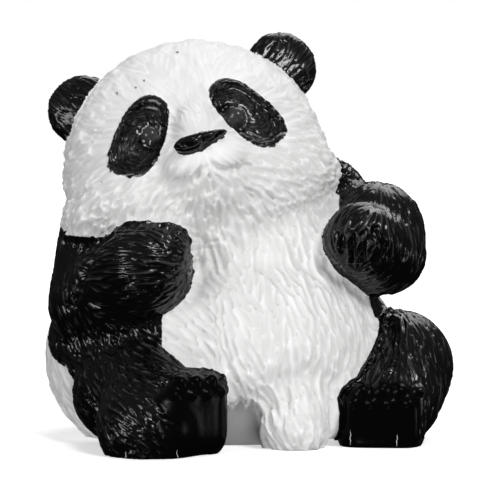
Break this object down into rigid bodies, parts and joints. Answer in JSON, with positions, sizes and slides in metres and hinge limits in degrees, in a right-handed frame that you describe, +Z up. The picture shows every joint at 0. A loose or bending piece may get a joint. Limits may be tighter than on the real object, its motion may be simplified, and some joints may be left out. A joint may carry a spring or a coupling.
{
  "type": "panda figurine",
  "caption": "Seated panda figurine, cast in one piece with carved fur and painted black and white, on a flat underside.",
  "frame": {"origin": "on the flat underside, in the plane that the figurine stands on, below the middle of the torso", "axes": "+Z up, -Y the way the belly and the face look, +X towards the animal's left arm"},
  "size_m": [0.125, 0.1055, 0.122],
  "materials": {
    "painted_resin": "cast resin, white satin paint with glossy black paint on limbs, ears, eye patches and nose"
  },
  "bodies": {
    "root": {"panda_figurine": "painted_resin"}
  },
  "joints": []
}
